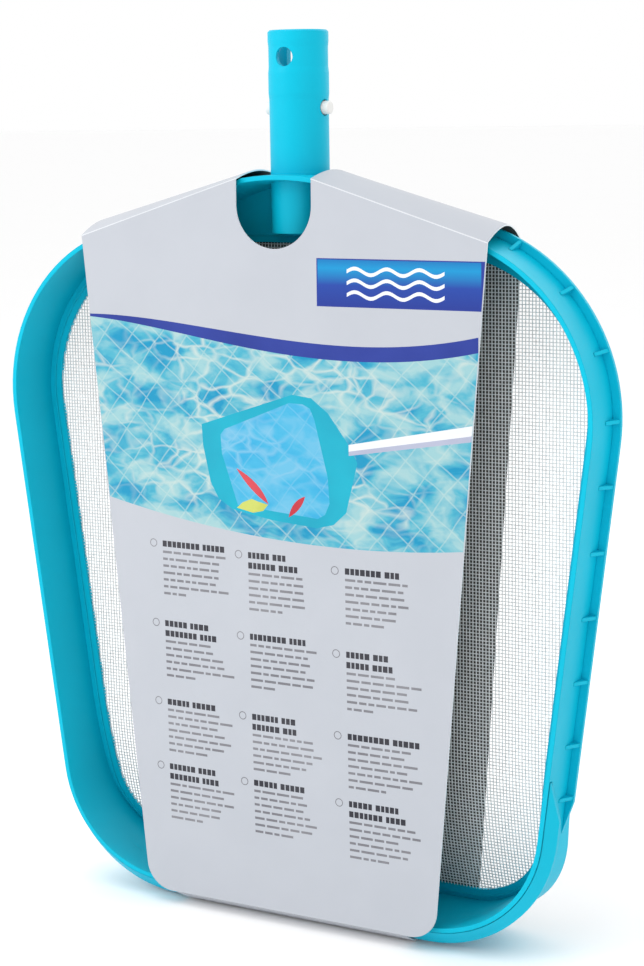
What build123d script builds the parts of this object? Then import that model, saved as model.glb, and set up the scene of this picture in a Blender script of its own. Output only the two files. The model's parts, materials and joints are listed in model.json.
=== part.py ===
from build123d import *
import os
from math import cos, radians, sin, tan

# Pool leaf skimmer head. The stem stands along Z with its free end at the origin,
# X runs across the head and the open side of the tray faces -Y.

# Stem that pushes into a telescopic pole
STEM_RADIUS = 12.75
STEM_RELIEVED_RADIUS = 12.5
STEM_LAND_END = -26.0
STEM_RELIEF_TOP = -4.5
STEM_RELIEF_BOTTOM = -17.5
STEM_TAPER = 2.4
STEM_WALL = 2.4
STEM_CHAMFER = 0.8
STEM_BOTTOM = -84.0
HANG_HOLE_RADIUS = 3.9
HANG_HOLE_Z = -11.0
WINDOW_WIDTH = 17.4
WINDOW_HEIGHT = 12.0
WINDOW_CORNER = 3.0

# Spring clip with two push buttons
BUTTON_RADIUS = 2.8
BUTTON_HOLE_RADIUS = 3.4
BUTTON_Z = -32.0
BUTTON_PROUD = 2.4
BUTTON_EDGE = 0.8
CLIP_WIDTH = 8.0
CLIP_THICKNESS = 1.6
CLIP_PIVOT_Z = -59.6
CLIP_PIVOT_X = 7.6
CLIP_GAP = 0.3
CLIP_TIP_Z = -26.5
CLIP_TIP_X = 8.2
SOCKET_FLOOR = CLIP_PIVOT_Z - CLIP_PIVOT_X - CLIP_THICKNESS / 2
SOCKET_FLOOR_THICKNESS = 3.0

# Plan outline of the net edge, in the XZ plane
SIDE_LEAN = 7.1
SHOULDER_CENTRE = (64.4, -156.8)
SHOULDER_RADIUS = 65.0
BROW_RADIUS = 190.0
BROW_ANGLE = 13.0
HEEL_RADIUS = 36.0
NET_BOTTOM = -370.0

# Side profile of the tray, in the YZ plane
NET_Y = 3.0
RIM_Y = -20.3
LIP_Y = -13.4
DEEP_Y = 20.0
BEND_START_Z = -300.0
BEND_RADIUS = 200.0
PROFILE_END_Z = -392.0

# Wall round the net: distances are measured outwards from the net edge
NECK_Z = -60.5
NECK_RISE = 1.3
WALL_SLOPE = 18.7
SKIN = 1.8
RIM_INNER = 9.0
RIM_OUTER = 11.0
RIM_BOTTOM = -378.0
RIM_HEEL_RADIUS = 53.0
DEEP_INNER = 3.5
DEEP_OUTER = 12.8
DEEP_BOTTOM = -379.0
DEEP_HEEL_RADIUS = 44.0
DEEP_WALL_HEIGHT = 3.2
DEEP_NECK_HEIGHT = 6.0
GROOVE_TIP_Y = -6.0
GROOVE_TIP_WIDTH = 0.8

# Strip that grips the mesh, with a bead along it
STRIP_THICKNESS = 2.0
STRIP_REACH = 7.0
STRIP_HEEL_RADIUS = 43.0
STRIP_BOTTOM = -377.0
BEAD_START = 2.8
BEAD_WIDTH = 0.9
BEAD_HEIGHT = 0.6

# Flange outside the wall, and the gusset ribs that brace it
FLANGE_REACH = 15.3
FLANGE_THICKNESS = 2.0
FLANGE_SLOPE = 15.5
FLANGE_FULL_Z = -318.0
FLANGE_TIP_REACH = 9.5
FLANGE_TIP_Z = -342.0
RIB_THICKNESS = 1.6
RIB_DEPTH = 8.5
RIB_REACH = 15.0
RIB_STEP = 27.3
FIRST_SIDE_RIB_Z = -183.0
LAST_SIDE_RIB_Z = -315.5
SIDE_RIBS = 5
RIB_TURN = 20.8
SHOULDER_RIBS = 4

# Scoop lip along the bottom
LIP_HEEL_RADIUS = 60.0
LIP_BOTTOM = -385.0
LIP_START_Z = -303.0
LIP_FULL_Z = -323.0
LIP_THICKNESS = 2.0
LIP_ROOT_GAP = 0.22

# Mesh net
NET_THICKNESS = 0.6

# Printed card sleeve round the head
CARD = 0.6
CARD_FRONT_Y = -23.5
CARD_BACK_Y = 21.3
CARD_BACK_TILT = 2.0
CARD_BACK_DROP = 3.0
NOTCH_RADIUS = 18.0
NOTCH_BOTTOM = -89.5
CARD_TOP_Z = -60.4
CARD_SHOULDER = (97.0, -85.2)
CARD_HEEL_X = 71.8
CARD_BOTTOM = -380.5
CARD_CORNER = 13.0
ROOF_EDGE_Y = -21.1
ROOF_EDGE_RISE = 2.2
ROOF_RIDGE_Y = -5.0
RIDGE_RISE_AT_NOTCH = 3.0
RIDGE_RISE_AT_SHOULDER = 6.0
ROOF_BACK_RISE = 1.0
UNDERFOLD_HALF = 58.0
UNDERFOLD_FRONT = (-14.6, -386.0)
UNDERFOLD_BACK = (14.0, -385.0)

# Half widths and depths that reach past the whole head
WIDE = 170.0
DEPTH = 40.0


def side_normal():
    """Outward direction of the leaning side, in X and Z."""
    lean = radians(SIDE_LEAN)
    return cos(lean), -sin(lean)


def heel_centre(reach, radius, bottom):
    """Centre of a heel arc that meets the side line at this reach and the bottom line."""
    normal_x, normal_z = side_normal()
    side = normal_x * SHOULDER_CENTRE[0] + normal_z * SHOULDER_CENTRE[1] + SHOULDER_RADIUS + reach
    z = bottom + radius
    return (side - radius - normal_z * z) / normal_x, z


def on_circle(centre, radius, angle):
    turn = radians(angle)
    return centre[0] + radius * cos(turn), centre[1] + radius * sin(turn)


def draw_side_and_heel(reach, top_angle, heel, heel_radius, bottom):
    """Shoulder arc, leaning side, heel arc and bottom line of one half outline."""
    radius = SHOULDER_RADIUS + reach
    CenterArc(SHOULDER_CENTRE, radius, -SIDE_LEAN, top_angle + SIDE_LEAN)
    Line(on_circle(SHOULDER_CENTRE, radius, -SIDE_LEAN), on_circle(heel, heel_radius, -SIDE_LEAN))
    CenterArc(heel, heel_radius, -SIDE_LEAN, SIDE_LEAN - 90)
    Line((heel[0], bottom), (0, bottom))


def net_outline(y, reach):
    """Face bounded by the net edge pushed outwards by reach, in the plane at depth y."""
    turn = radians(BROW_ANGLE)
    step = BROW_RADIUS - SHOULDER_RADIUS
    brow = (SHOULDER_CENTRE[0] - step * sin(turn), SHOULDER_CENTRE[1] - step * cos(turn))
    heel_radius = HEEL_RADIUS + reach
    bottom = NET_BOTTOM - reach
    heel = heel_centre(reach, heel_radius, bottom)
    top = brow[1] + BROW_RADIUS + reach
    with BuildSketch(Plane.XZ.offset(-y)) as outline:
        with BuildLine():
            Line((0, top), (brow[0], top))
            CenterArc(brow, BROW_RADIUS + reach, 90 - BROW_ANGLE, BROW_ANGLE)
            draw_side_and_heel(reach, 90 - BROW_ANGLE, heel, heel_radius, bottom)
            mirror(about=Plane.YZ)
        make_face()
    return outline.sketch


def wall_outline(y, reach, neck_z, slope, heel_radius, bottom):
    """Face bounded by a wall line, with straight shoulders that rise to a slightly arched neck."""
    start = on_circle(SHOULDER_CENTRE, SHOULDER_RADIUS + reach, 90 - slope)
    neck_x = start[0] - (neck_z - start[1]) / tan(radians(slope))
    heel = heel_centre(reach, heel_radius, bottom)
    with BuildSketch(Plane.XZ.offset(-y)) as outline:
        with BuildLine():
            TangentArc((0, neck_z + NECK_RISE), (neck_x, neck_z), tangent=(1, 0))
            Line((neck_x, neck_z), start)
            draw_side_and_heel(reach, 90 - slope, heel, heel_radius, bottom)
            mirror(about=Plane.YZ)
        make_face()
    return outline.sketch


def wall_line(y, reach, neck_drop, heel_change, bottom_rise):
    """Wall outline measured from the outer rim line, for the skins and the groove between them."""
    return wall_outline(
        y, reach, NECK_Z - neck_drop, WALL_SLOPE, RIM_HEEL_RADIUS + heel_change, RIM_BOTTOM + bottom_rise
    )


def draw_net_profile(offset_y):
    """Side profile at a distance behind the net: straight, then bending away from the open side."""
    y = NET_Y + offset_y
    radius = BEND_RADIUS - offset_y
    drop = BEND_START_Z - PROFILE_END_Z
    end_y = NET_Y + BEND_RADIUS - (radius ** 2 - drop ** 2) ** 0.5
    Line((y, 0), (y, BEND_START_Z))
    TangentArc((y, BEND_START_Z), (end_y, PROFILE_END_Z), tangent=(0, -1))
    return end_y


def profile_slab(front, back):
    """Slab across the head that follows the net's profile between two distances from it."""
    with BuildPart() as slab:
        with BuildSketch(Plane.YZ):
            with BuildLine():
                front_end = draw_net_profile(front)
                back_end = draw_net_profile(back)
                Line((NET_Y + front, 0), (NET_Y + back, 0))
                Line((front_end, PROFILE_END_Z), (back_end, PROFILE_END_Z))
            make_face()
        extrude(amount=WIDE, both=True)
    return slab.part


def through(face):
    """Outline run right through the head from front to back."""
    with BuildPart() as prism:
        extrude(face, amount=2 * DEPTH)
    return prism.part


def stem_room():
    """Cylinder that the stem fills where it runs down through the top of the tray."""
    with BuildPart() as room:
        with BuildSketch(Plane.XY):
            Circle(STEM_RELIEVED_RADIUS)
        extrude(amount=STEM_BOTTOM)
    return room.part


def wall_envelope():
    """Everything inside the outer face of the wall."""
    deep = wall_line(DEEP_Y, DEEP_OUTER, 0, DEEP_HEEL_RADIUS - RIM_HEEL_RADIUS, DEEP_BOTTOM - RIM_BOTTOM)
    rim = wall_line(RIM_Y, RIM_OUTER, 0, 0, 0)
    with BuildPart() as envelope:
        loft([deep.face(), rim.face()], ruled=True)
    return envelope.part


def wall_room():
    """Everything inside the inner face of the wall."""
    deep = wall_outline(
        DEEP_Y,
        DEEP_INNER,
        NECK_Z - DEEP_NECK_HEIGHT,
        WALL_SLOPE,
        DEEP_HEEL_RADIUS - DEEP_WALL_HEIGHT,
        DEEP_BOTTOM + DEEP_WALL_HEIGHT,
    )
    rim_width = RIM_OUTER - RIM_INNER
    rim = wall_line(RIM_Y, RIM_INNER, rim_width, -rim_width, rim_width)
    with BuildPart() as room:
        loft([deep.face(), rim.face()], ruled=True)
    return room.part


def wall_groove():
    """Wedge-shaped groove between the wall's two skins, open towards the back."""
    deep_heel = DEEP_HEEL_RADIUS - RIM_HEEL_RADIUS
    deep_rise = DEEP_BOTTOM - RIM_BOTTOM
    deep_outer = wall_line(DEEP_Y, DEEP_OUTER - SKIN, SKIN, deep_heel - SKIN / 2, deep_rise + SKIN / 2)
    deep_inner = wall_line(
        DEEP_Y,
        DEEP_INNER + SKIN,
        DEEP_NECK_HEIGHT - SKIN,
        deep_heel - DEEP_WALL_HEIGHT + SKIN / 2,
        deep_rise + DEEP_WALL_HEIGHT - SKIN / 2,
    )
    tip_reach = RIM_OUTER - SKIN
    tip_outer = wall_line(GROOVE_TIP_Y, tip_reach + GROOVE_TIP_WIDTH, SKIN, -SKIN / 2, SKIN / 2)
    tip_inner = wall_line(GROOVE_TIP_Y, tip_reach, SKIN + GROOVE_TIP_WIDTH, -SKIN, SKIN)
    with BuildPart() as groove:
        loft([deep_outer.face(), tip_outer.face()], ruled=True)
        loft([deep_inner.face(), tip_inner.face()], ruled=True, mode=Mode.SUBTRACT)
    return groove.part


def rib_blade(centre_x, centre_z, outward_x, outward_z):
    """Triangular gusset rib that stands on the flange and leans on the wall."""
    spot = Plane(
        origin=(centre_x, 0, centre_z),
        x_dir=(outward_x, 0, outward_z),
        z_dir=(outward_z, 0, -outward_x),
    )
    foot = FLANGE_THICKNESS / 2
    with BuildPart() as rib:
        with BuildSketch(spot):
            with BuildLine():
                Polyline((0, foot), (RIB_REACH - RIM_OUTER, foot), (0, foot + RIB_DEPTH), close=True)
            make_face()
        extrude(amount=RIB_THICKNESS / 2, both=True)
    return rib.part


def side_rib(z):
    """Gusset rib on the straight side at this height."""
    normal_x, normal_z = side_normal()
    side = normal_x * SHOULDER_CENTRE[0] + normal_z * SHOULDER_CENTRE[1] + SHOULDER_RADIUS + RIM_OUTER
    return rib_blade((side - normal_z * z) / normal_x, z, normal_x, normal_z)


def shoulder_rib(angle):
    """Gusset rib on the shoulder arc at this angle above the horizontal."""
    x, z = on_circle(SHOULDER_CENTRE, SHOULDER_RADIUS + RIM_OUTER, angle)
    turn = radians(angle)
    return rib_blade(x, z, cos(turn), sin(turn))


def lip_edge(y):
    return wall_outline(y, FLANGE_REACH, NECK_Z, WALL_SLOPE, LIP_HEEL_RADIUS, LIP_BOTTOM)


def lip_cone(shift):
    """Everything behind one face of the flaring lip, moved back by shift."""
    with BuildPart() as cone:
        rim = wall_line(RIM_Y + shift, RIM_OUTER, 0, 0, 0)
        edge = lip_edge(LIP_Y - LIP_THICKNESS / 2 + shift)
        loft([edge.face(), rim.face()], ruled=True)
    return cone.part


def clip_arm_centre_x(z):
    """Middle of the right clip arm at this height."""
    along = (z - CLIP_PIVOT_Z) / (CLIP_TIP_Z - CLIP_PIVOT_Z)
    return CLIP_PIVOT_X + along * (CLIP_TIP_X - CLIP_PIVOT_X)


def card_panel(y, drop):
    """Card panel with the notch for the stem, one card thick, its outer corners lowered by drop."""
    centre_z = NOTCH_BOTTOM + NOTCH_RADIUS
    corner = (CARD_SHOULDER[0], CARD_SHOULDER[1] - drop)
    with BuildPart() as panel:
        with BuildSketch(Plane.XZ.offset(-y)):
            with BuildLine():
                CenterArc((0, centre_z), NOTCH_RADIUS, -90, 90)
                Polyline((NOTCH_RADIUS, centre_z), (NOTCH_RADIUS, CARD_TOP_Z), corner)
                FilletPolyline(corner, (CARD_HEEL_X, CARD_BOTTOM), (0, CARD_BOTTOM), radius=CARD_CORNER)
                mirror(about=Plane.YZ)
            make_face()
        extrude(amount=CARD)
    return panel.part


def on_back_panel(z):
    """Depth and height, on the tilted back panel, of what stands at this height when it is upright."""
    up = z - CARD_BOTTOM
    return CARD_BACK_Y - up * sin(radians(CARD_BACK_TILT)), CARD_BOTTOM + up * cos(radians(CARD_BACK_TILT))


def roof_section(x, crease_z, ridge_rise, drop, inset):
    """Cross-section under the folded top of the sleeve, drawn in by inset and open below."""
    back_y, back_z = on_back_panel(crease_z - drop)
    with BuildSketch(Plane.YZ.offset(x)) as section:
        with BuildLine():
            Polyline(
                (CARD_FRONT_Y + inset, crease_z - 2 * inset),
                (ROOF_EDGE_Y + inset, crease_z + ROOF_EDGE_RISE - inset),
                (ROOF_RIDGE_Y, crease_z + ridge_rise - inset),
                (back_y - inset, back_z + ROOF_BACK_RISE - inset),
                (back_y - inset, back_z - 2 * inset),
                close=True,
            )
        make_face()
    return section.sketch


def underfold_section(inset):
    """Cross-section of the fold that passes under the lip, drawn in by inset."""
    with BuildSketch(Plane.YZ) as section:
        with BuildLine():
            Polyline(
                (CARD_FRONT_Y + inset, CARD_BOTTOM),
                (UNDERFOLD_FRONT[0], UNDERFOLD_FRONT[1] + inset),
                (UNDERFOLD_BACK[0], UNDERFOLD_BACK[1] + inset),
                (CARD_BACK_Y - inset, CARD_BOTTOM),
                close=True,
            )
        make_face()
    return section.sketch


os.makedirs("parts", exist_ok=True)

# Hollow-backed wall round the net
with BuildPart() as tray_wall:
    add(wall_envelope())
    add(wall_room(), mode=Mode.SUBTRACT)
    add(wall_groove(), mode=Mode.SUBTRACT)
    add(profile_slab(-DEPTH, STRIP_THICKNESS / 2), mode=Mode.INTERSECT)
    add(stem_room(), mode=Mode.SUBTRACT)
tray_wall.part.label = "tray_wall"
export_step(tray_wall.part, "parts/tray_wall.step")

# Bead that stands up from the strip and follows the net edge
with BuildPart() as strip_bead:
    add(through(net_outline(DEPTH, BEAD_START + BEAD_WIDTH)))
    add(through(net_outline(DEPTH, BEAD_START)), mode=Mode.SUBTRACT)
    add(profile_slab(-STRIP_THICKNESS / 2 - BEAD_HEIGHT, 0), mode=Mode.INTERSECT)

# Flat strip between the wall and the mesh
strip_face = wall_outline(
    DEPTH, STRIP_REACH, NECK_Z - DEEP_NECK_HEIGHT, WALL_SLOPE, STRIP_HEEL_RADIUS, STRIP_BOTTOM
)
with BuildPart() as net_edge_strip:
    add(through(strip_face))
    add(profile_slab(-STRIP_THICKNESS / 2, STRIP_THICKNESS / 2), mode=Mode.INTERSECT)
    add(strip_bead.part)
    add(through(net_outline(DEPTH, 0)), mode=Mode.SUBTRACT)
    add(tray_wall.part, mode=Mode.SUBTRACT)
    add(wall_groove(), mode=Mode.SUBTRACT)
    add(stem_room(), mode=Mode.SUBTRACT)
net_edge_strip.part.label = "net_edge_strip"
export_step(net_edge_strip.part, "parts/net_edge_strip.step")

# Woven mesh that fills the outline
with BuildPart() as mesh_net:
    add(through(net_outline(DEPTH, 0)))
    add(profile_slab(-NET_THICKNESS / 2, NET_THICKNESS / 2), mode=Mode.INTERSECT)
mesh_net.part.label = "mesh_net"
export_step(mesh_net.part, "parts/mesh_net.step")

# Flange outside the wall, narrowing to its lower tip
normal_x, normal_z = side_normal()
side_at_net = normal_x * SHOULDER_CENTRE[0] + normal_z * SHOULDER_CENTRE[1] + SHOULDER_RADIUS
flange_full_x = (side_at_net + FLANGE_REACH - normal_z * FLANGE_FULL_Z) / normal_x
flange_tip_x = (side_at_net + FLANGE_TIP_REACH - normal_z * FLANGE_TIP_Z) / normal_x
flange_face = wall_outline(
    FLANGE_THICKNESS / 2, FLANGE_REACH, NECK_Z, FLANGE_SLOPE, LIP_HEEL_RADIUS, LIP_BOTTOM
)
with BuildPart() as flange_reach:
    with BuildSketch(Plane.XZ.offset(-DEPTH)):
        with BuildLine():
            Polyline(
                (NOTCH_RADIUS, 0),
                (WIDE, 0),
                (WIDE, FLANGE_FULL_Z),
                (flange_full_x, FLANGE_FULL_Z),
                (flange_tip_x, FLANGE_TIP_Z),
                (NOTCH_RADIUS, FLANGE_TIP_Z),
                close=True,
            )
        make_face()
    extrude(amount=2 * DEPTH)
with BuildPart() as right_flange:
    extrude(flange_face, amount=FLANGE_THICKNESS)
    add(wall_envelope(), mode=Mode.SUBTRACT)
    add(flange_reach.part, mode=Mode.INTERSECT)
right_flange.part.label = "right_flange"
export_step(right_flange.part, "parts/right_flange.step")

with BuildPart() as left_flange:
    mirror(right_flange.part, about=Plane.YZ)
left_flange.part.label = "left_flange"
export_step(left_flange.part, "parts/left_flange.step")

# Gusset ribs between flange and wall
with BuildPart() as right_ribs:
    for index in range(SHOULDER_RIBS):
        add(shoulder_rib(index * RIB_TURN))
    for index in range(SIDE_RIBS):
        add(side_rib(FIRST_SIDE_RIB_Z - index * RIB_STEP))
    add(side_rib(LAST_SIDE_RIB_Z))
    add(wall_envelope(), mode=Mode.SUBTRACT)
right_ribs.part.label = "right_ribs"
export_step(right_ribs.part, "parts/right_ribs.step")

with BuildPart() as left_ribs:
    mirror(right_ribs.part, about=Plane.YZ)
left_ribs.part.label = "left_ribs"
export_step(left_ribs.part, "parts/left_ribs.step")

# Scoop lip that flares from the bottom rim and starts from nothing on both sides
lip_start_x = (side_at_net + RIM_OUTER - normal_z * LIP_START_Z) / normal_x
lip_full_x = (side_at_net + FLANGE_REACH - normal_z * LIP_FULL_Z) / normal_x
with BuildPart() as lip_reach:
    with BuildSketch(Plane.XZ.offset(-DEPTH)):
        with BuildLine():
            Polyline(
                (0, LIP_START_Z),
                (lip_start_x, LIP_START_Z),
                (lip_full_x, LIP_FULL_Z),
                (WIDE, LIP_FULL_Z),
                (WIDE, PROFILE_END_Z),
                (0, PROFILE_END_Z),
            )
            mirror(about=Plane.YZ)
        make_face()
    extrude(amount=2 * DEPTH)

with BuildPart() as scoop_lip:
    add(lip_cone(0))
    extrude(lip_edge(LIP_Y + LIP_THICKNESS / 2), amount=LIP_THICKNESS)
    add(lip_cone(LIP_THICKNESS), mode=Mode.SUBTRACT)
    add(
        through(wall_line(DEPTH, RIM_OUTER + LIP_ROOT_GAP, 0, LIP_ROOT_GAP, -LIP_ROOT_GAP)),
        mode=Mode.SUBTRACT,
    )
    add(lip_reach.part, mode=Mode.INTERSECT)
scoop_lip.part.label = "scoop_lip"
export_step(scoop_lip.part, "parts/scoop_lip.step")

# Stem with its two guide lands, socket floor, hang hole, rear window and button holes
with BuildPart() as stem_tube:
    with BuildSketch(Plane.XZ):
        with BuildLine():
            Polyline(
                (0, 0),
                (STEM_RADIUS - STEM_CHAMFER, 0),
                (STEM_RADIUS, -STEM_CHAMFER),
                (STEM_RADIUS, STEM_RELIEF_TOP),
                (STEM_RELIEVED_RADIUS, STEM_RELIEF_TOP - STEM_TAPER),
                (STEM_RELIEVED_RADIUS, STEM_RELIEF_BOTTOM + STEM_TAPER),
                (STEM_RADIUS, STEM_RELIEF_BOTTOM),
                (STEM_RADIUS, STEM_LAND_END),
                (STEM_RELIEVED_RADIUS, STEM_LAND_END - STEM_TAPER),
                (STEM_RELIEVED_RADIUS, STEM_BOTTOM),
                (0, STEM_BOTTOM),
                close=True,
            )
        make_face()
    revolve(axis=Axis.Z)
    with BuildSketch(Plane.XY):
        Circle(STEM_RADIUS - STEM_WALL)
    extrude(amount=SOCKET_FLOOR, mode=Mode.SUBTRACT)
    with BuildSketch(Plane.XY.offset(STEM_BOTTOM)):
        Circle(STEM_RADIUS - STEM_WALL)
    extrude(amount=SOCKET_FLOOR - SOCKET_FLOOR_THICKNESS - STEM_BOTTOM, mode=Mode.SUBTRACT)
    with BuildSketch(Plane.XY.offset(STEM_BOTTOM)):
        with Locations((0, NET_Y + STRIP_THICKNESS / 2)):
            Rectangle(DEPTH, DEPTH, align=(Align.CENTER, Align.MIN))
    extrude(amount=SOCKET_FLOOR - SOCKET_FLOOR_THICKNESS - STEM_BOTTOM, mode=Mode.SUBTRACT)
    with BuildSketch(Plane.XZ):
        with Locations((0, HANG_HOLE_Z)):
            Circle(HANG_HOLE_RADIUS)
    extrude(amount=DEPTH, mode=Mode.SUBTRACT)
    with BuildSketch(Plane.XZ):
        with Locations((0, HANG_HOLE_Z)):
            RectangleRounded(WINDOW_WIDTH, WINDOW_HEIGHT, WINDOW_CORNER)
    extrude(amount=-DEPTH, mode=Mode.SUBTRACT)
    with BuildSketch(Plane.YZ):
        with Locations((0, BUTTON_Z)):
            Circle(BUTTON_HOLE_RADIUS)
    extrude(amount=DEPTH, both=True, mode=Mode.SUBTRACT)
stem_tube.part.label = "stem_tube"
export_step(stem_tube.part, "parts/stem_tube.step")

# Round bend of the spring clip, seated on the socket floor
with BuildPart() as clip_bend:
    with BuildSketch(Plane.XZ):
        with Locations((0, CLIP_PIVOT_Z)):
            Circle(CLIP_PIVOT_X + CLIP_THICKNESS / 2)
            Circle(CLIP_PIVOT_X - CLIP_THICKNESS / 2, mode=Mode.SUBTRACT)
            Rectangle(DEPTH, DEPTH, align=(Align.CENTER, Align.MIN), mode=Mode.SUBTRACT)
    extrude(amount=CLIP_WIDTH / 2, both=True)
clip_bend.part.label = "clip_bend"
export_step(clip_bend.part, "parts/clip_bend.step")

# Sprung arms of the clip
half_arm = CLIP_THICKNESS / 2
with BuildPart() as right_clip_arm:
    with BuildSketch(Plane.XZ):
        with BuildLine():
            Polyline(
                (CLIP_PIVOT_X - half_arm, CLIP_PIVOT_Z + CLIP_GAP),
                (CLIP_PIVOT_X + half_arm, CLIP_PIVOT_Z + CLIP_GAP),
                (CLIP_TIP_X + half_arm, CLIP_TIP_Z),
                (CLIP_TIP_X - half_arm, CLIP_TIP_Z),
                close=True,
            )
        make_face()
    extrude(amount=CLIP_WIDTH / 2, both=True)
right_clip_arm.part.label = "right_clip_arm"
export_step(right_clip_arm.part, "parts/right_clip_arm.step")

with BuildPart() as left_clip_arm:
    mirror(right_clip_arm.part, about=Plane.YZ)
left_clip_arm.part.label = "left_clip_arm"
export_step(left_clip_arm.part, "parts/left_clip_arm.step")

# Push buttons on the arms
button_root_x = clip_arm_centre_x(BUTTON_Z)
with BuildPart() as right_button:
    with BuildSketch(Plane.YZ.offset(button_root_x)):
        with Locations((0, BUTTON_Z)):
            Circle(BUTTON_RADIUS)
    extrude(amount=STEM_RADIUS + BUTTON_PROUD - button_root_x)
    fillet(right_button.faces().sort_by(Axis.X)[-1].edges(), radius=BUTTON_EDGE)
    add(right_clip_arm.part, mode=Mode.SUBTRACT)
right_button.part.label = "right_button"
export_step(right_button.part, "parts/right_button.step")

with BuildPart() as left_button:
    mirror(right_button.part, about=Plane.YZ)
left_button.part.label = "left_button"
export_step(left_button.part, "parts/left_button.step")

# Card sleeve: front and back panels
with BuildPart() as sleeve_front:
    add(card_panel(CARD_FRONT_Y + CARD, 0))
sleeve_front.part.label = "sleeve_front"
export_step(sleeve_front.part, "parts/sleeve_front.step")

back_hinge = Axis((0, CARD_BACK_Y, CARD_BOTTOM), (1, 0, 0))
with BuildPart() as sleeve_back:
    add(card_panel(CARD_BACK_Y, CARD_BACK_DROP).rotate(back_hinge, CARD_BACK_TILT))
sleeve_back.part.label = "sleeve_back"
export_step(sleeve_back.part, "parts/sleeve_back.step")

# Card sleeve: folds over the shoulders of the head
near = (NOTCH_RADIUS, CARD_TOP_Z, RIDGE_RISE_AT_NOTCH, 0)
far = (CARD_SHOULDER[0], CARD_SHOULDER[1], RIDGE_RISE_AT_SHOULDER, CARD_BACK_DROP)
with BuildPart() as sleeve_right_fold:
    loft([roof_section(*near, 0).face(), roof_section(*far, 0).face()], ruled=True)
    loft([roof_section(*near, CARD).face(), roof_section(*far, CARD).face()], ruled=True, mode=Mode.SUBTRACT)
sleeve_right_fold.part.label = "sleeve_right_fold"
export_step(sleeve_right_fold.part, "parts/sleeve_right_fold.step")

with BuildPart() as sleeve_left_fold:
    mirror(sleeve_right_fold.part, about=Plane.YZ)
sleeve_left_fold.part.label = "sleeve_left_fold"
export_step(sleeve_left_fold.part, "parts/sleeve_left_fold.step")

# Card sleeve: fold under the scoop lip
with BuildPart() as sleeve_underfold:
    extrude(underfold_section(0), amount=UNDERFOLD_HALF, both=True)
    extrude(underfold_section(CARD), amount=UNDERFOLD_HALF, both=True, mode=Mode.SUBTRACT)
sleeve_underfold.part.label = "sleeve_underfold"
export_step(sleeve_underfold.part, "parts/sleeve_underfold.step")
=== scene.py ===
import json
import math
import random

import bmesh
import bpy
from mathutils import Matrix, Vector
from mathutils.bvhtree import BVHTree
from mathutils.geometry import delaunay_2d_cdt


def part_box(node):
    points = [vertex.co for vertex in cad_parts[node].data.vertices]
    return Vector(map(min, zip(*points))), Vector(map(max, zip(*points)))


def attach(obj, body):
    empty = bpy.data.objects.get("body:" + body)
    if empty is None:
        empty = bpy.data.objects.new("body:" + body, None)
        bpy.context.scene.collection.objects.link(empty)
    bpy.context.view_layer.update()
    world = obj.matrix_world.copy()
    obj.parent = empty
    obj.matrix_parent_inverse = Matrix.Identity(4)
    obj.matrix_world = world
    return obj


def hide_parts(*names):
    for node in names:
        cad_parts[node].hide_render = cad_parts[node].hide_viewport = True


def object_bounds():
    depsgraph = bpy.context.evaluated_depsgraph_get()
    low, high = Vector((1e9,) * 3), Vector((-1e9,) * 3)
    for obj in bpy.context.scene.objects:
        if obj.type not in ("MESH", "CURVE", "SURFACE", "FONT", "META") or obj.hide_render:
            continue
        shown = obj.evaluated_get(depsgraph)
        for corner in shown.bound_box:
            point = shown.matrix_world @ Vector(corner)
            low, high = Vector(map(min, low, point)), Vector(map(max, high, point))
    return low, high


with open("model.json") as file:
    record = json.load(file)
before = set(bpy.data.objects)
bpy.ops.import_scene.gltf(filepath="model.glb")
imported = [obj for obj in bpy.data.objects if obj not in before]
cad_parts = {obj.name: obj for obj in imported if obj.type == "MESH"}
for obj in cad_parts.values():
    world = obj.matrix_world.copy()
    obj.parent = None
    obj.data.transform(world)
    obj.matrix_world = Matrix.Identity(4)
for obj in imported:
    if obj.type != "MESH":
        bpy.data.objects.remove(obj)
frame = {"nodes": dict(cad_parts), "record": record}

CAD_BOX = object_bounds()
MM = 0.001
ROOT = "skimmer_head"

# Camera, placed where the photograph was taken from
CAMERA_PLACE = Vector((0.4385, -0.7798, -0.0315))
CAMERA_LOOK = Vector((-0.4757, 0.8617, -0.1769))
CAMERA_UP = Vector((-0.0712, 0.1627, 0.9841))
CAMERA_LENS = 78.1

# Woven mesh
THREAD_PITCH = 1.5 * MM
THREAD_WIDTH = 0.34 * MM
THREAD_LAP = 1.0 * MM
WEAVE_STEP = 0.1 * MM
CURVE_START = -298 * MM

# Card sleeve, in millimetres
CARD = 0.6
FRONT_Y = -23.5
BACK_Y = 21.3
NOTCH_RADIUS = 18.0
NOTCH_BOTTOM = -89.5
TOP_Z = -60.4
SHOULDER = (97.0, -85.2)
HEEL_X = 71.8
BOTTOM_Z = -380.5
CORNER = 13.0
BOW = 1.6
RIDGE_Y = -5.0
RIDGE_RISE = (3.0, 6.0)
BACK_RISE = 1.0
BACK_TILT = math.radians(2.0)
BACK_DROP = 3.0
# Width of the painted highlight strip under each top crease
CREASE_HIGHLIGHT_WIDTH = 0.4

# Print on the front of the sleeve, in millimetres
BADGE_LEFT = 20.3
BADGE_TOP = -92.8
BADGE_BOTTOM = -112.6
# Left edge of each column of text, and how far it hangs below its row
COLUMNS = ((-59.0, 0.0), (-15.0, 1.2), (32.0, 4.0))
ROWS = (-218.0, -254.0, -290.0, -320.0)
COLUMN_WIDTH = 35.0
LINE_PITCH = 3.1
LINES = 8


def shader_nodes(name):
    """New material with its node tree, its Principled shader and its object coordinates."""
    material = bpy.data.materials.new(name)
    material.use_nodes = True
    tree = material.node_tree
    coordinates = tree.nodes.new("ShaderNodeTexCoord").outputs["Object"]
    return material, tree, tree.nodes["Principled BSDF"], coordinates


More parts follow.
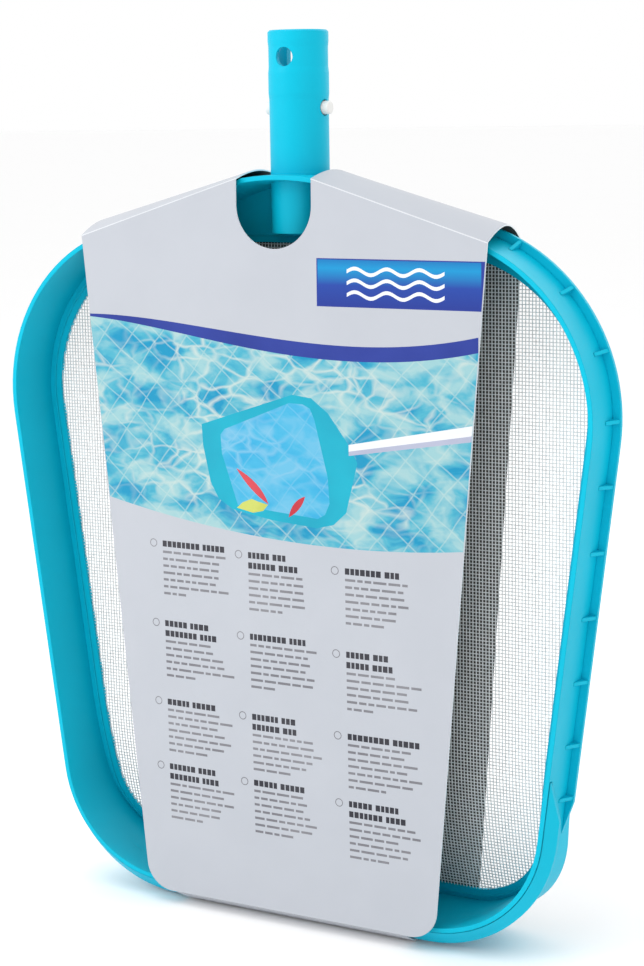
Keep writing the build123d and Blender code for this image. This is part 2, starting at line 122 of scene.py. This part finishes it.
def noise(tree, vector, scale, detail=3.0):
    node = tree.nodes.new("ShaderNodeTexNoise")
    node.inputs["Scale"].default_value = scale
    node.inputs["Detail"].default_value = detail
    tree.links.new(vector, node.inputs["Vector"])
    return node.outputs["Fac"]


def ramp(tree, factor, stops):
    """Colour ramp with the given (position, colour) stops."""
    node = tree.nodes.new("ShaderNodeValToRGB")
    elements = node.color_ramp.elements
    while len(elements) < len(stops):
        elements.new(0.5)
    for element, (position, colour) in zip(elements, stops):
        element.position = position
        element.color = (*colour, 1.0)
    tree.links.new(factor, node.inputs["Fac"])
    return node.outputs["Color"]


def grey_range(tree, factor, low, high):
    """Number that runs from low to high as the factor runs from 0 to 1."""
    node = tree.nodes.new("ShaderNodeMapRange")
    node.inputs["To Min"].default_value = low
    node.inputs["To Max"].default_value = high
    tree.links.new(factor, node.inputs["Value"])
    return node.outputs["Result"]


def blend_colours(tree, factor, first, second, mode="MIX"):
    node = tree.nodes.new("ShaderNodeMix")
    node.data_type = "RGBA"
    node.blend_type = mode
    tree.links.new(factor, node.inputs["Factor"])
    for socket, value in ((node.inputs[6], first), (node.inputs[7], second)):
        if isinstance(value, tuple):
            socket.default_value = (*value, 1.0)
        else:
            tree.links.new(value, socket)
    return node.outputs[2]


def bump(tree, height, distance, strength, normal=None):
    node = tree.nodes.new("ShaderNodeBump")
    node.inputs["Distance"].default_value = distance
    node.inputs["Strength"].default_value = strength
    tree.links.new(height, node.inputs["Height"])
    if normal is not None:
        tree.links.new(normal, node.inputs["Normal"])
    return node.outputs["Normal"]


def moulded_plastic(name, dark, light, roughness, edge_radius):
    """Injection-moulded plastic: slight flow marks, a fine matt grain and softened edges."""
    material, tree, shader, place = shader_nodes(name)
    tint = ramp(tree, noise(tree, place, 22.0), [(0.3, dark), (0.7, light)])
    tree.links.new(tint, shader.inputs["Base Color"])
    tree.links.new(
        grey_range(tree, noise(tree, place, 60.0), roughness - 0.06, roughness + 0.08),
        shader.inputs["Roughness"],
    )
    soft = tree.nodes.new("ShaderNodeBevel")
    soft.samples = 6
    soft.inputs["Radius"].default_value = edge_radius
    grain = bump(tree, noise(tree, place, 1800.0, 2.0), 0.0001, 0.12, soft.outputs["Normal"])
    tree.links.new(grain, shader.inputs["Normal"])
    shader.inputs["Specular IOR Level"].default_value = 0.13
    return material


def card_stock(name, dark, light, coat):
    """Coated board: faint cloudiness and fibre, with a thin varnish."""
    material, tree, shader, place = shader_nodes(name)
    tint = ramp(tree, noise(tree, place, 35.0), [(0.35, dark), (0.65, light)])
    tree.links.new(tint, shader.inputs["Base Color"])
    shader.inputs["Roughness"].default_value = 0.45
    shader.inputs["Specular IOR Level"].default_value = 0.25
    shader.inputs["Coat Weight"].default_value = coat
    shader.inputs["Coat Roughness"].default_value = 0.25
    fibre = bump(tree, noise(tree, place, 700.0, 4.0), 0.0001, 0.15)
    tree.links.new(fibre, shader.inputs["Normal"])
    return material


def thread_plastic():
    """White monofilament of the mesh, a little uneven along its length."""
    material, tree, shader, place = shader_nodes("mesh_thread")
    tint = ramp(tree, noise(tree, place, 400.0), [(0.3, (0.60, 0.62, 0.62)), (0.7, (0.78, 0.80, 0.80))])
    tree.links.new(tint, shader.inputs["Base Color"])
    shader.inputs["Roughness"].default_value = 0.45
    return material


def turned_to_card(tree, place, angle):
    """Object coordinates laid flat on the card's face and turned by an angle."""
    node = tree.nodes.new("ShaderNodeMapping")
    node.inputs["Rotation"].default_value = (math.radians(-90), 0.0, 0.0)
    tree.links.new(place, node.inputs["Vector"])
    turn = tree.nodes.new("ShaderNodeMapping")
    turn.inputs["Rotation"].default_value = (0.0, 0.0, math.radians(angle))
    tree.links.new(node.outputs["Vector"], turn.inputs["Vector"])
    return turn.outputs["Vector"]


def rippled(tree, place, scale, reach):
    """Coordinates pushed about by noise, as water bends what is seen through it."""
    node = tree.nodes.new("ShaderNodeTexNoise")
    node.inputs["Scale"].default_value = scale
    node.inputs["Detail"].default_value = 2.0
    tree.links.new(place, node.inputs["Vector"])
    push = tree.nodes.new("ShaderNodeVectorMath")
    push.operation = "MULTIPLY_ADD"
    push.inputs[1].default_value = (reach, reach, reach)
    tree.links.new(node.outputs["Color"], push.inputs[0])
    tree.links.new(place, push.inputs[2])
    return push.outputs["Vector"]


def printed_water(name, haze):
    """Printed picture of sunlit pool water over tiles, with this much pale blue laid over it."""
    material, tree, shader, place = shader_nodes(name)
    flow = tree.nodes.new("ShaderNodeMapping")
    flow.inputs["Scale"].default_value = (0.75, 1.0, 1.3)
    tree.links.new(place, flow.inputs["Vector"])
    bent = rippled(tree, flow.outputs["Vector"], 60.0, 0.016)
    patches = ramp(
        tree,
        noise(tree, bent, 70.0, 4.0),
        [(0.36, (0.0, 0.25, 0.44)), (0.48, (0.06, 0.37, 0.49)), (0.62, (0.28, 0.50, 0.53))],
    )
    lines = tree.nodes.new("ShaderNodeTexVoronoi")
    lines.feature = "DISTANCE_TO_EDGE"
    lines.inputs["Scale"].default_value = 105.0
    tree.links.new(bent, lines.inputs["Vector"])
    glint = ramp(tree, lines.outputs["Distance"], [(0.0, (1.0, 1.0, 1.0)), (0.14, (0.0, 0.0, 0.0))])
    tiles = tree.nodes.new("ShaderNodeTexBrick")
    tiles.offset = 0.0
    tiles.inputs["Color1"].default_value = (0.0, 0.0, 0.0, 1.0)
    tiles.inputs["Color2"].default_value = (0.0, 0.0, 0.0, 1.0)
    tiles.inputs["Mortar"].default_value = (1.0, 1.0, 1.0, 1.0)
    tiles.inputs["Scale"].default_value = 90.0
    tiles.inputs["Mortar Size"].default_value = 0.03
    tiles.inputs["Brick Width"].default_value = 1.0
    tiles.inputs["Row Height"].default_value = 0.8
    tree.links.new(turned_to_card(tree, rippled(tree, place, 40.0, 0.004), 38.0), tiles.inputs["Vector"])
    gridded = blend_colours(
        tree, grey_range(tree, tiles.outputs["Fac"], 0.0, 0.45), patches, (0.42, 0.56, 0.55)
    )
    dapple = ramp(tree, noise(tree, bent, 38.0), [(0.42, (0.0, 0.0, 0.0)), (0.6, (1.0, 1.0, 1.0))])
    spread = blend_colours(tree, grey_range(tree, dapple, 0.15, 0.75), (0.0, 0.0, 0.0), glint)
    lit = blend_colours(tree, spread, gridded, (0.56, 0.61, 0.56))
    veil = tree.nodes.new("ShaderNodeMix")
    veil.data_type = "RGBA"
    veil.inputs["Factor"].default_value = haze
    veil.inputs[7].default_value = (0.04, 0.39, 0.67, 1.0)
    tree.links.new(lit, veil.inputs[6])
    tree.links.new(veil.outputs[2], shader.inputs["Base Color"])
    shader.inputs["Roughness"].default_value = 0.4
    shader.inputs["Specular IOR Level"].default_value = 0.25
    shader.inputs["Coat Weight"].default_value = 0.15
    shader.inputs["Coat Roughness"].default_value = 0.2
    return material


def printed_badge():
    """Blue label that fades from navy at its foot to bright blue near its top."""
    material, tree, shader, place = shader_nodes("print_badge")
    split = tree.nodes.new("ShaderNodeSeparateXYZ")
    tree.links.new(place, split.inputs["Vector"])
    height = tree.nodes.new("ShaderNodeMapRange")
    height.inputs["From Min"].default_value = BADGE_BOTTOM * MM
    height.inputs["From Max"].default_value = BADGE_TOP * MM
    tree.links.new(split.outputs["Z"], height.inputs["Value"])
    fade = ramp(
        tree,
        height.outputs["Result"],
        [
            (0.0, (0.01, 0.03, 0.25)),
            (0.45, (0.01, 0.05, 0.32)),
            (0.8, (0.0, 0.26, 0.54)),
            (1.0, (0.0, 0.15, 0.42)),
        ],
    )
    tree.links.new(fade, shader.inputs["Base Color"])
    shader.inputs["Roughness"].default_value = 0.4
    shader.inputs["Specular IOR Level"].default_value = 0.25
    shader.inputs["Coat Weight"].default_value = 0.15
    return material


BLUE = moulded_plastic("blue_plastic", (0.0, 0.44, 0.61), (0.0, 0.475, 0.655), 0.42, 0.5 * MM)
WHITE = moulded_plastic("white_plastic", (0.74, 0.74, 0.72), (0.80, 0.80, 0.78), 0.42, 0.3 * MM)
CARD_OUTER = ((0.445, 0.467, 0.512), (0.457, 0.479, 0.524))
# Inside of the card: bare grey board, made darker still with painted shade
CARD_INNER_BOARD_AND_SHADE = ((0.075, 0.07, 0.065), (0.095, 0.09, 0.083))
CARD_FACE = card_stock("card_face", *CARD_OUTER, 0.2)
CARD_INSIDE_BOARD_AND_SHADE = card_stock("card_inside_board_and_shade", *CARD_INNER_BOARD_AND_SHADE, 0.0)
CARD_EDGE = card_stock("card_edge", (0.82, 0.83, 0.84), (0.88, 0.89, 0.90), 0.0)
THREAD = thread_plastic()
PRINT = {
    "face": CARD_FACE,
    "navy": card_stock("print_navy", (0.012, 0.03, 0.24), (0.018, 0.04, 0.28), 0.15),
    "water": printed_water("print_water", 0.0),
    "badge": printed_badge(),
    "white": card_stock("print_white", (0.70, 0.72, 0.75), (0.76, 0.78, 0.80), 0.15),
    "shade": card_stock("print_shade", (0.36, 0.38, 0.50), (0.42, 0.44, 0.56), 0.15),
    "teal": card_stock("print_teal", (0.0, 0.31, 0.44), (0.0, 0.37, 0.50), 0.15),
    "netting": printed_water("print_netting", 0.68),
    "red": card_stock("print_red", (0.45, 0.02, 0.035), (0.58, 0.06, 0.08), 0.15),
    "green": card_stock("print_green", (0.40, 0.44, 0.06), (0.52, 0.56, 0.12), 0.15),
    "ink": card_stock("print_ink", (0.025, 0.025, 0.035), (0.045, 0.045, 0.055), 0.1),
    "small_ink": card_stock("print_small_ink", (0.17, 0.17, 0.19), (0.23, 0.23, 0.25), 0.1),
    # Lighter strip under the top creases: a painted highlight where the card bends over
    "crease": card_stock("crease_painted_highlight", (0.62, 0.64, 0.67), (0.68, 0.70, 0.73), 0.0),
    "inside": CARD_INSIDE_BOARD_AND_SHADE,
    "edge": CARD_EDGE,
}


def add_object(name, vertices, faces, materials):
    mesh = bpy.data.meshes.new(name)
    mesh.from_pydata([tuple(v) for v in vertices], [], faces)
    for material in materials:
        mesh.materials.append(material)
    mesh.update()
    thing = bpy.data.objects.new(name, mesh)
    bpy.context.scene.collection.objects.link(thing)
    return thing


def apply_modifiers(thing):
    evaluated = thing.evaluated_get(bpy.context.evaluated_depsgraph_get())
    mesh = bpy.data.meshes.new_from_object(evaluated)
    thing.modifiers.clear()
    thing.data = mesh


def smooth_by_angle(thing, degrees):
    for polygon in thing.data.polygons:
        polygon.use_smooth = True
    shape = bmesh.new()
    shape.from_mesh(thing.data)
    for edge in shape.edges:
        if len(edge.link_faces) == 2:
            edge.smooth = edge.calc_face_angle() < math.radians(degrees)
    shape.to_mesh(thing.data)
    shape.free()


# Woven mesh, thread by thread, on the surface and inside the outline of the CAD net

class NetShape:
    """Depth and half width of the CAD net at any height."""

    def __init__(self, node):
        mesh = frame["nodes"][node].data
        self.tree = BVHTree.FromPolygons([v.co for v in mesh.vertices], [p.vertices for p in mesh.polygons])
        low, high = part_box(node)
        self.low, self.high = low.copy(), high.copy()

    def depth(self, z):
        front = self.tree.ray_cast(Vector((0.0, -1.0, z)), Vector((0.0, 1.0, 0.0)))[0]
        back = self.tree.ray_cast(Vector((0.0, 1.0, z)), Vector((0.0, -1.0, 0.0)))[0]
        return (front.y + back.y) / 2

    def half_width(self, z, y):
        hit = self.tree.ray_cast(Vector((1.0, y, z)), Vector((-1.0, 0.0, 0.0)))[0]
        return hit.x if hit is not None else 0.0


def add_thread(vertices, faces, centres, sideways, depthways):
    """Four-sided thread through these centre points."""
    start = len(vertices)
    for centre in centres:
        for across, deep in ((-1, -1), (1, -1), (1, 1), (-1, 1)):
            vertices.append(centre + sideways * across + depthways * deep)
    for ring in range(len(centres) - 1):
        base = start + 4 * ring
        for k in range(4):
            after = (k + 1) % 4
            faces.append((base + k, base + after, base + 4 + after, base + 4 + k))
    last = start + 4 * (len(centres) - 1)
    faces.append((start + 3, start + 2, start + 1, start))
    faces.append((last, last + 1, last + 2, last + 3))


def build_net():
    net = NetShape("mesh_net")
    top, bottom = net.high.z, net.low.z
    rows = int((top - bottom) / THREAD_PITCH)
    heights = [top - (k + 0.5) * THREAD_PITCH for k in range(rows)]
    depths = [net.depth(z) for z in heights]
    widths = [net.half_width(z, y) for z, y in zip(heights, depths)]
    half = THREAD_WIDTH / 2
    vertices, faces = [], []
    for z, y, width in zip(heights, depths, widths):
        ends = [Vector((side * (width + THREAD_LAP), y + WEAVE_STEP, z)) for side in (-1, 1)]
        add_thread(vertices, faces, ends, Vector((0, 0, half)), Vector((0, half, 0)))
    columns = int(max(widths) / THREAD_PITCH)
    for column in range(-columns, columns + 1):
        x = column * THREAD_PITCH
        inside = [k for k, width in enumerate(widths) if width >= abs(x)]
        if len(inside) < 2:
            continue
        ends = (inside[0], inside[-1])
        run = [k for k in inside if k in ends or (heights[k] < CURVE_START and k % 4 == 0)]
        centres = [Vector((x, depths[k] - WEAVE_STEP, heights[k])) for k in run]
        centres[0].z += THREAD_PITCH
        centres[-1].z -= THREAD_PITCH
        centres[-1].y += THREAD_PITCH * 0.3
        add_thread(vertices, faces, centres, Vector((half, 0, 0)), Vector((0, half, 0)))
    thing = add_object("woven_mesh", vertices, faces, [THREAD])
    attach(thing, ROOT)
    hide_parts("mesh_net")


# Printed front of the sleeve

def curve(start, control, end, steps=24):
    """Points along a quadratic curve, both ends included."""
    points = []
    for k in range(steps + 1):
        t = k / steps
        points.append(
            tuple((1 - t) ** 2 * a + 2 * t * (1 - t) * b + t * t * c for a, b, c in zip(start, control, end))
        )
    return points


def cubic(start, first, second, end, steps=40):
    """Points along a cubic curve, both ends included."""
    points = []
    for k in range(steps + 1):
        t = k / steps
        weights = ((1 - t) ** 3, 3 * t * (1 - t) ** 2, 3 * t * t * (1 - t), t**3)
        pulls = list(zip(weights, (start, first, second, end)))
        points.append(tuple(sum(weight * point[i] for weight, point in pulls) for i in (0, 1)))
    return points


def leaf(root, tip, left, right):
    """Outline of a leaf, each side bulging towards one control point."""
    return curve(root, left, tip, 8)[:-1] + curve(tip, right, root, 8)[:-1]


def arc(centre, radius, first, last, steps):
    points = []
    for k in range(steps + 1):
        turn = math.radians(first + (last - first) * k / steps)
        points.append((centre[0] + radius * math.cos(turn), centre[1] + radius * math.sin(turn)))
    return points


def edge_x(z):
    """Half width of the card at a height."""
    along = (SHOULDER[1] - z) / (SHOULDER[1] - BOTTOM_Z)
    return SHOULDER[0] + along * (HEEL_X - SHOULDER[0])


def crease_z(x):
    """Height of the top crease at a distance from the middle."""
    along = (abs(x) - NOTCH_RADIUS) / (SHOULDER[0] - NOTCH_RADIUS)
    return TOP_Z + along * (SHOULDER[1] - TOP_Z)


def card_outline():
    """Outline of the front panel, going round anticlockwise from the notch."""
    lean = math.degrees(math.atan2(SHOULDER[0] - HEEL_X, SHOULDER[1] - BOTTOM_Z))
    centre_z = BOTTOM_Z + CORNER
    turn = math.radians(lean)
    side = edge_x(centre_z)
    centre_x = side - CORNER / math.cos(turn)
    right = [(NOTCH_RADIUS, TOP_Z), SHOULDER]
    right += arc((centre_x, centre_z), CORNER, -lean, -90, 10)
    left = [(-x, z) for x, z in reversed(right)]
    notch = arc((0.0, NOTCH_BOTTOM + NOTCH_RADIUS), NOTCH_RADIUS, 360, 180, 32)
    return list(reversed(right + left)) + notch


def mirrored_strip(width):
    """Thin strips just under the two top creases, which carry a painted highlight."""
    right = [
        (NOTCH_RADIUS, TOP_Z),
        (NOTCH_RADIUS, TOP_Z - width),
        (SHOULDER[0] - 0.1, SHOULDER[1] - width),
        SHOULDER,
    ]
    return [right, [(-x, z) for x, z in reversed(right)]]


def bar(x, z, width, height):
    return [(x, z - height), (x + width, z - height), (x + width, z), (x, z)]


def text_blocks():
    """Columns of plain bars that stand for headings and small print."""
    rng = random.Random(11)
    shapes = []
    for level, row in enumerate(ROWS):
        for index, (column, drop) in enumerate(COLUMNS):
            z = row - drop
            shapes.append(("small_ink", arc((column - 4.8, z - 1.4), 1.9, 0, 330, 11)))
            shapes.append(("face", arc((column - 4.8, z - 1.4), 1.5, 0, 330, 11)))
            headings = 1 + (index + level) % 2
            for _ in range(headings):
                x = column
                for letters in (rng.randint(5, 8), rng.randint(3, 5)):
                    for _ in range(letters):
                        width = rng.uniform(1.5, 2.3)
                        shapes.append(("ink", bar(x, z, width, 2.7)))
                        x += width + 0.45
                    x += 1.3
                z -= 4.5
            for line in range(headings, LINES):
                x = column
                reach = (0.4, 0.6) if line == LINES - 1 else (0.75, 1.0)
                end = column + COLUMN_WIDTH * rng.uniform(*reach)
                while x < end - 4.0:
                    width = rng.uniform(2.2, 6.5)
                    shapes.append(("small_ink", bar(x, z, width, 1.1)))
                    x += width + 0.9
                z -= LINE_PITCH
    return shapes


def wave_icon():
    """Three white ripples on the badge."""
    shapes = []
    for level in range(3):
        z = BADGE_TOP - 5.2 - 4.8 * level
        upper, lower = [], []
        for k in range(41):
            x = BADGE_LEFT + 14.0 + k * 1.1
            swell = 1.3 * math.sin(k * 2 * math.pi / 13.3)
            upper.append((x, z + swell + 0.75))
            lower.append((x, z + swell - 0.75))
        shapes.append(("white", lower + upper[::-1]))
    return shapes


def print_shapes():
    """Everything printed on the front panel, and painted highlight strips under the top creases: (ink,
    outline), later ones on top.
    """
    band = cubic((-94.0, -120.0), (-40.0, -121.0), (25.0, -141.5), (93.0, -126.0))
    halves = [0.6 + 2.5 * math.sin(math.pi / 2 * min(1.0, k / 26)) for k in range(len(band))]
    band_top = [(x, z + half) for (x, z), half in zip(band, halves)]
    band_foot = [(x, z - half) for (x, z), half in zip(band, halves)]
    picture_foot = curve((-86.7, -200.5), (5.0, -220.0), (86.0, -210.6))
    frame_outer = [(-22, -201), (-3, -204.2), (19, -206), (27, -204), (33, -198.5), (38.5, -177), (34, -169)]
    frame_outer += [(25, -157), (17, -151), (8, -150), (-37, -165), (-36.5, -174), (-33, -190), (-29, -197)]
    frame_inner = [(-19.5, -199), (19.5, -202), (23, -200), (25.2, -195), (24.5, -184), (18.5, -160)]
    frame_inner += [(16.5, -155.5), (13, -153.8), (6.5, -153.6), (-25.5, -166.5), (-27.5, -169), (-27, -177)]
    pole_foot = [(34.5, -174.2), (edge_x(-165.2) - 0.4, -165.2)]
    pole = pole_foot + [(edge_x(-158.6) - 0.4, -158.6), (34.5, -169.6)]
    pole_shade = pole_foot + [(edge_x(-162.8) - 0.4, -162.8), (34.5, -172.4)]
    slim_leaf = leaf((-20, -183.0), (-4.2, -197.6), (-8, -188), (-13, -193))
    short_leaf = leaf((5.5, -202.4), (13.6, -192.8), (12, -199), (7, -195))
    broad_leaf = [(-20, -200.2), (-12, -201.8), (-7, -200.6), (-4.5, -197.8)]
    broad_leaf += [(-10, -196.6), (-12.6, -195.8), (-17, -197.6)]
    badge = [
        (BADGE_LEFT, BADGE_BOTTOM),
        (edge_x(BADGE_BOTTOM) - 0.3, BADGE_BOTTOM),
        (edge_x(BADGE_TOP) - 0.3, BADGE_TOP),
        (BADGE_LEFT, BADGE_TOP),
    ]
    shapes = [("water", picture_foot + band_foot[::-1]), ("navy", band_foot + band_top[::-1])]
    shapes += [("teal", frame_outer), ("netting", frame_inner), ("white", pole), ("shade", pole_shade)]
    shapes += [("red", slim_leaf), ("green", broad_leaf), ("red", short_leaf)]
    shapes += [("navy", badge), ("badge", bar(BADGE_LEFT + 0.5, BADGE_TOP - 0.5, 73.5, 18.8))]
    shapes += wave_icon() + text_blocks()
    # Painted highlight strips along the two top creases
    shapes += [("crease", strip) for strip in mirrored_strip(CREASE_HIGHLIGHT_WIDTH)]
    return shapes


def area_of(points):
    return sum(a[0] * b[1] - b[0] * a[1] for a, b in zip(points, points[1:] + points[:1])) / 2


def bow_y(x, z):
    """Depth of the front panel: it swells gently between its creases."""
    along = (crease_z(max(abs(x), NOTCH_RADIUS)) - z) / (crease_z(max(abs(x), NOTCH_RADIUS)) - BOTTOM_Z)
    across = 1 - (x / edge_x(z)) ** 2
    return FRONT_Y - BOW * math.sin(math.pi * min(max(along, 0.0), 1.0)) * max(across, 0.0)


def back_card():
    """Coated white outside and bare grey board inside, darkened further with painted shade, told apart by
    where they lie in the sleeve.
    """
    material, tree, shader, place = shader_nodes("card_back")
    across = tree.nodes.new("ShaderNodeVectorMath")
    across.operation = "DOT_PRODUCT"
    across.inputs[1].default_value = (0.0, math.cos(BACK_TILT), math.sin(BACK_TILT))
    tree.links.new(place, across.inputs[0])
    outside = tree.nodes.new("ShaderNodeMath")
    outside.operation = "GREATER_THAN"
    face = BACK_Y * math.cos(BACK_TILT) + BOTTOM_Z * math.sin(BACK_TILT)
    outside.inputs[1].default_value = (face - CARD / 2) * MM
    tree.links.new(across.outputs["Value"], outside.inputs[0])
    split = tree.nodes.new("ShaderNodeSeparateXYZ")
    tree.links.new(place, split.inputs["Vector"])
    below = tree.nodes.new("ShaderNodeMath")
    below.operation = "LESS_THAN"
    below.inputs[1].default_value = (BOTTOM_Z - CARD / 2) * MM
    tree.links.new(split.outputs["Z"], below.inputs[0])
    either = tree.nodes.new("ShaderNodeMath")
    either.operation = "MAXIMUM"
    tree.links.new(outside.outputs["Value"], either.inputs[0])
    tree.links.new(below.outputs["Value"], either.inputs[1])
    cloud = noise(tree, place, 35.0)
    # Inside: grey board with painted shade
    inner = ramp(tree, cloud, [(0.35, CARD_INNER_BOARD_AND_SHADE[0]), (0.65, CARD_INNER_BOARD_AND_SHADE[1])])
    outer = ramp(tree, cloud, [(0.35, CARD_OUTER[0]), (0.65, CARD_OUTER[1])])
    tree.links.new(blend_colours(tree, either.outputs["Value"], inner, outer), shader.inputs["Base Color"])
    shader.inputs["Roughness"].default_value = 0.5
    shader.inputs["Specular IOR Level"].default_value = 0.25
    fibre = bump(tree, noise(tree, place, 700.0, 4.0), 0.0001, 0.15)
    tree.links.new(fibre, shader.inputs["Normal"])
    return material


def build_front():
    names = list(PRINT)
    outlines = [("face", card_outline())] + print_shapes()
    points, loops = [], []
    for _, outline in outlines:
        if area_of(outline) < 0:
            outline = outline[::-1]
        loops.append(list(range(len(points), len(points) + len(outline))))
        points += [Vector(p) for p in outline]
    step = 11.0
    for i in range(-9, 10):
        for k in range(1, 30):
            points.append(Vector((i * step, TOP_Z - k * step)))
    verts, _, faces, _, _, origins = delaunay_2d_cdt(points, [], loops, 1, 0.001, True)
    inks = [outlines[max(origin)][0] if origin else None for origin in origins]
    solid = [(face, names.index(ink)) for face, ink in zip(faces, inks) if ink]
    vertices = [Vector((v.x, bow_y(v.x, v.y), v.y)) * MM for v in verts]
    thing = add_object("sleeve_front_panel", vertices, [face for face, _ in solid], PRINT.values())
    for polygon, (_, ink) in zip(thing.data.polygons, solid):
        polygon.material_index = ink
    shape = bmesh.new()
    shape.from_mesh(thing.data)
    bmesh.ops.delete(shape, geom=[v for v in shape.verts if not v.link_faces], context="VERTS")
    bmesh.ops.recalc_face_normals(shape, faces=shape.faces)
    if sum(face.normal.y for face in shape.faces) > 0:
        bmesh.ops.reverse_faces(shape, faces=shape.faces)
    shape.to_mesh(thing.data)
    shape.free()
    thicken(thing, 1, 1)
    # Faces turned to the back get the grey board with its painted shade, side faces the cut edge
    for polygon in thing.data.polygons:
        if polygon.normal.y > 0.5:
            polygon.material_index = names.index("inside")
        elif polygon.normal.y > -0.5:
            polygon.material_index = names.index("edge")
    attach(thing, ROOT)
    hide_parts("sleeve_front")


def thicken(thing, inside, edge):
    """Gives a sheet the card's thickness behind its face, with grey board darkened by painted shade inside
    and bare cut edges.
    """
    solid = thing.modifiers.new("thickness", "SOLIDIFY")
    solid.thickness = CARD * MM
    solid.offset = -1.0
    solid.material_offset = inside
    solid.material_offset_rim = edge
    apply_modifiers(thing)
    smooth_by_angle(thing, 30.0)


def on_back_panel(z):
    """Depth and height, on the tilted back panel, of what stands at this height when it is upright."""
    up = z - BOTTOM_Z
    return BACK_Y - up * math.sin(BACK_TILT), BOTTOM_Z + up * math.cos(BACK_TILT)


def build_fold(name, node, side):
    """Card folded over one shoulder, lower at the notch than at its outer end."""
    stations, steps = 16, 22
    vertices, faces = [], []
    for i in range(stations + 1):
        along = i / stations
        x = NOTCH_RADIUS + along * (SHOULDER[0] - NOTCH_RADIUS)
        ridge_z = crease_z(x) + RIDGE_RISE[0] + along * (RIDGE_RISE[1] - RIDGE_RISE[0])
        back_y, back_z = on_back_panel(crease_z(x) - along * BACK_DROP)
        for k in range(steps):
            y = FRONT_Y + (back_y - FRONT_Y) * k / (steps - 1)
            if y < RIDGE_Y:
                share = ((RIDGE_Y - y) / (RIDGE_Y - FRONT_Y)) ** 1.7
                z = ridge_z + share * (crease_z(x) - ridge_z)
            else:
                share = ((y - RIDGE_Y) / (back_y - RIDGE_Y)) ** 2.2
                z = ridge_z + share * (back_z + BACK_RISE - ridge_z)
            vertices.append(Vector((side * x, y, z)) * MM)
        vertices.append(Vector((side * x, back_y, back_z)) * MM)
    for i in range(stations):
        for k in range(steps):
            a = i * (steps + 1) + k
            b = a + steps + 1
            faces.append((a, b, b + 1, a + 1) if side > 0 else (a, a + 1, b + 1, b))
    thing = add_object(name, vertices, faces, [CARD_FACE, CARD_INSIDE_BOARD_AND_SHADE, CARD_EDGE])
    thicken(thing, 1, 2)
    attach(thing, ROOT)
    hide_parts(node)


def dress_cad_nodes():
    """Materials of the CAD nodes that stay as they are."""
    dress = {
        "blue_plastic": BLUE,
        "white_plastic": WHITE,
        "printed_card": back_card(),
    }
    for row in frame["record"]["subparts"]:
        thing = frame["nodes"][row["node"]]
        if row["material_slot"] in dress and not thing.hide_render:
            for slot in thing.material_slots:
                slot.material = dress[row["material_slot"]]


def add_light(name, place, target, size, power, colour=(1.0, 1.0, 1.0)):
    data = bpy.data.lights.new(name, "AREA")
    data.size = size
    data.energy = power
    data.color = colour
    light = bpy.data.objects.new(name, data)
    light.location = place
    light.rotation_euler = (Vector(target) - Vector(place)).to_track_quat("-Z", "Y").to_euler()
    bpy.context.scene.collection.objects.link(light)


def build_studio():
    """Pale floor, soft white surroundings and four large soft lights."""
    floor_material, tree, shader, place = shader_nodes("studio_floor")
    pale = ramp(tree, noise(tree, place, 3.0), [(0.0, (0.975, 0.975, 0.975)), (1.0, (0.985, 0.985, 0.985))])
    tree.links.new(pale, shader.inputs["Base Color"])
    shader.inputs["Roughness"].default_value = 0.9
    size, z = 30.0, CAD_BOX[0].z - 0.001
    corners = [(-size, -size, z), (size, -size, z), (size, size, z), (-size, size, z)]
    floor = add_object("studio_floor", corners, [(0, 1, 2, 3)], [floor_material])
    world = bpy.data.worlds.new("studio")
    world.use_nodes = True
    background = world.node_tree.nodes["Background"]
    background.inputs["Color"].default_value = (1.0, 1.0, 1.0, 1.0)
    background.inputs["Strength"].default_value = 1.0
    bpy.context.scene.world = world
    bpy.context.scene.view_settings.view_transform = "Standard"
    middle = (0.0, 0.0, -0.2)
    add_light("key", (-1.0, -1.1, 0.6), middle, 0.9, 8.5)
    add_light("fill", (1.3, -0.9, 0.1), middle, 1.0, 1.0)
    add_light("back", (0.3, 1.4, 0.5), middle, 1.0, 4.0)
    add_light("top", (-0.1, -0.4, 1.1), middle, 0.8, 4.0)


def build_camera():
    data = bpy.data.cameras.new("camera")
    data.lens = CAMERA_LENS
    data.sensor_width = 36.0
    data.clip_start = 0.01
    camera = bpy.data.objects.new("camera", data)
    back = -CAMERA_LOOK.normalized()
    right = CAMERA_LOOK.cross(CAMERA_UP).normalized()
    up = back.cross(right)
    camera.matrix_world = Matrix.Translation(CAMERA_PLACE) @ Matrix((right, up, back)).transposed().to_4x4()
    bpy.context.scene.collection.objects.link(camera)
    bpy.context.scene.camera = camera


build_camera()
build_studio()
build_net()
build_front()
build_fold("sleeve_right_roof", "sleeve_right_fold", 1)
build_fold("sleeve_left_roof", "sleeve_left_fold", -1)
dress_cad_nodes()
